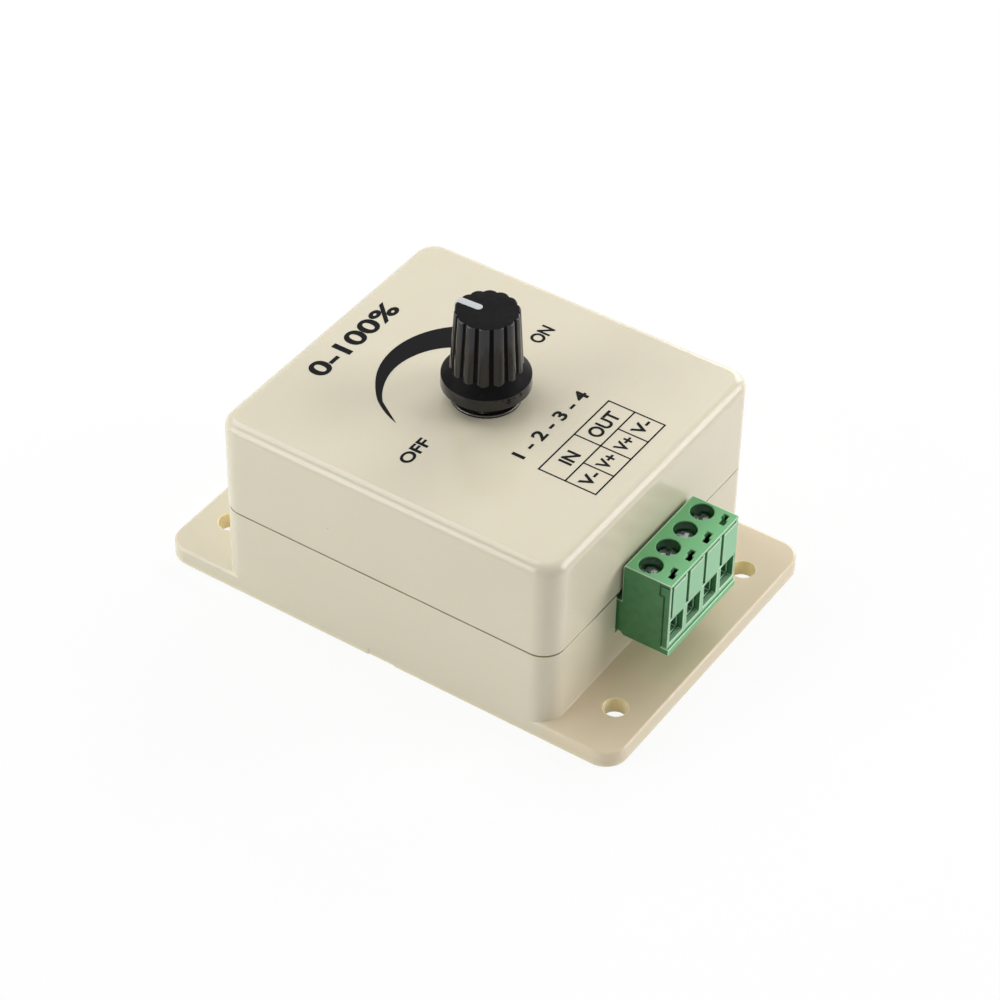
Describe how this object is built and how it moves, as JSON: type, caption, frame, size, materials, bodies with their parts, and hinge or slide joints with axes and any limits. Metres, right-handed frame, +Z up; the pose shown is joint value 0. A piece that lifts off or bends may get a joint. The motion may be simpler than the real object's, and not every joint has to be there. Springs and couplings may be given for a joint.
{
  "type": "rotary dimmer",
  "caption": "Surface-mounted rotary dimmer for low-voltage lamps: a flanged plastic case with a fluted pointer knob and a pluggable screw terminal.",
  "frame": {"origin": "centre of the footprint, on the underside of the flanges", "axes": "+Z up through the knob, -Y towards the plug, +X to the right seen from the plug"},
  "size_m": [0.059, 0.088, 0.0522],
  "materials": {
    "case_plastic": "glossy moulded",
    "zinc_steel": "zinc plated",
    "board_laminate": "solder mask",
    "tinned_copper": "tinned",
    "black_moulding": "matt moulded",
    "capacitor_sleeve": "sleeved",
    "capacitor_ceramic": "dipped",
    "resistor_coat": "lacquered",
    "green_moulding": "matt moulded",
    "pale_green_moulding": "matt moulded",
    "die_cast_zinc": "die-cast",
    "nickel_steel": "nickel plated",
    "phenolic_board": "laminate",
    "lead_sleeve": "insulated",
    "nickel_brass": "turned",
    "spring_bronze": "spring sheet",
    "white_plastic": "inlaid",
    "knob_plastic": "satin moulded"
  },
  "bodies": {
    "case": {"base_shell": "case_plastic", "lid": "case_plastic", "case_screws": "zinc_steel", "circuit_board": "board_laminate", "board_screws": "zinc_steel", "transistor_leadframe": "tinned_copper", "transistor_body": "black_moulding", "chip_body": "black_moulding", "chip_pins": "tinned_copper", "big_capacitor": "capacitor_sleeve", "small_capacitors": "capacitor_ceramic", "resistors": "resistor_coat", "diodes": "black_moulding", "header_shroud": "green_moulding", "header_pins": "tinned_copper", "pot_bushing": "die_cast_zinc", "pot_can": "nickel_steel", "pot_wafer": "phenolic_board", "pot_terminals": "tinned_copper", "pot_leads": "lead_sleeve", "pot_washer": "nickel_steel", "pot_nut": "nickel_steel"},
    "knob_and_shaft": {"pot_shaft": "nickel_brass", "pot_rotor": "black_moulding", "pot_wiper": "spring_bronze", "shaft_clip": "zinc_steel", "knob_pointer": "white_plastic", "knob": "knob_plastic"},
    "plug": {"plug_housing": "green_moulding", "plug_front_cover": "pale_green_moulding", "plug_contacts": "tinned_copper"},
    "clamp_screw_1": {"clamp_screw_1": "zinc_steel"},
    "clamp_cage_1": {"clamp_cage_1": "nickel_brass"},
    "clamp_screw_2": {"clamp_screw_2": "zinc_steel"},
    "clamp_cage_2": {"clamp_cage_2": "nickel_brass"},
    "clamp_screw_3": {"clamp_screw_3": "zinc_steel"},
    "clamp_cage_3": {"clamp_cage_3": "nickel_brass"},
    "clamp_screw_4": {"clamp_screw_4": "zinc_steel"},
    "clamp_cage_4": {"clamp_cage_4": "nickel_brass"}
  },
  "joints": [
    {"name": "knob_turn", "type": "hinge", "parent": "case", "child": "knob_and_shaft", "pos_m": [0, 0.0003, 0.035], "axis": [0, 0, 1], "range_deg": [-153, 147]},
    {"name": "plug_pull", "type": "slide", "parent": "case", "child": "plug", "axis": [0, -1, 0], "range_m": [0, 0.01]},
    {"name": "clamp_screw_1_turn", "type": "hinge", "parent": "plug", "child": "clamp_screw_1", "pos_m": [-0.00762, -0.036, 0.02025], "axis": [0, 0, 1], "range_deg": [-2160, 0]},
    {"name": "clamp_cage_1_rise", "type": "slide", "parent": "plug", "child": "clamp_cage_1", "axis": [0, 0, 1], "range_m": [0, 0.0027]},
    {"name": "clamp_screw_2_turn", "type": "hinge", "parent": "plug", "child": "clamp_screw_2", "pos_m": [-0.00254, -0.036, 0.02025], "axis": [0, 0, 1], "range_deg": [-2160, 0]},
    {"name": "clamp_cage_2_rise", "type": "slide", "parent": "plug", "child": "clamp_cage_2", "axis": [0, 0, 1], "range_m": [0, 0.0027]},
    {"name": "clamp_screw_3_turn", "type": "hinge", "parent": "plug", "child": "clamp_screw_3", "pos_m": [0.00254, -0.036, 0.02025], "axis": [0, 0, 1], "range_deg": [-2160, 0]},
    {"name": "clamp_cage_3_rise", "type": "slide", "parent": "plug", "child": "clamp_cage_3", "axis": [0, 0, 1], "range_m": [0, 0.0027]},
    {"name": "clamp_screw_4_turn", "type": "hinge", "parent": "plug", "child": "clamp_screw_4", "pos_m": [0.00762, -0.036, 0.02025], "axis": [0, 0, 1], "range_deg": [-2160, 0]},
    {"name": "clamp_cage_4_rise", "type": "slide", "parent": "plug", "child": "clamp_cage_4", "axis": [0, 0, 1], "range_m": [0, 0.0027]}
  ],
  "couplings": [
    {"joint": "clamp_screw_1_turn", "follows": "clamp_cage_1_rise", "rad_per_m": -13963},
    {"joint": "clamp_screw_2_turn", "follows": "clamp_cage_2_rise", "rad_per_m": -13963},
    {"joint": "clamp_screw_3_turn", "follows": "clamp_cage_3_rise", "rad_per_m": -13963},
    {"joint": "clamp_screw_4_turn", "follows": "clamp_cage_4_rise", "rad_per_m": -13963}
  ]
}
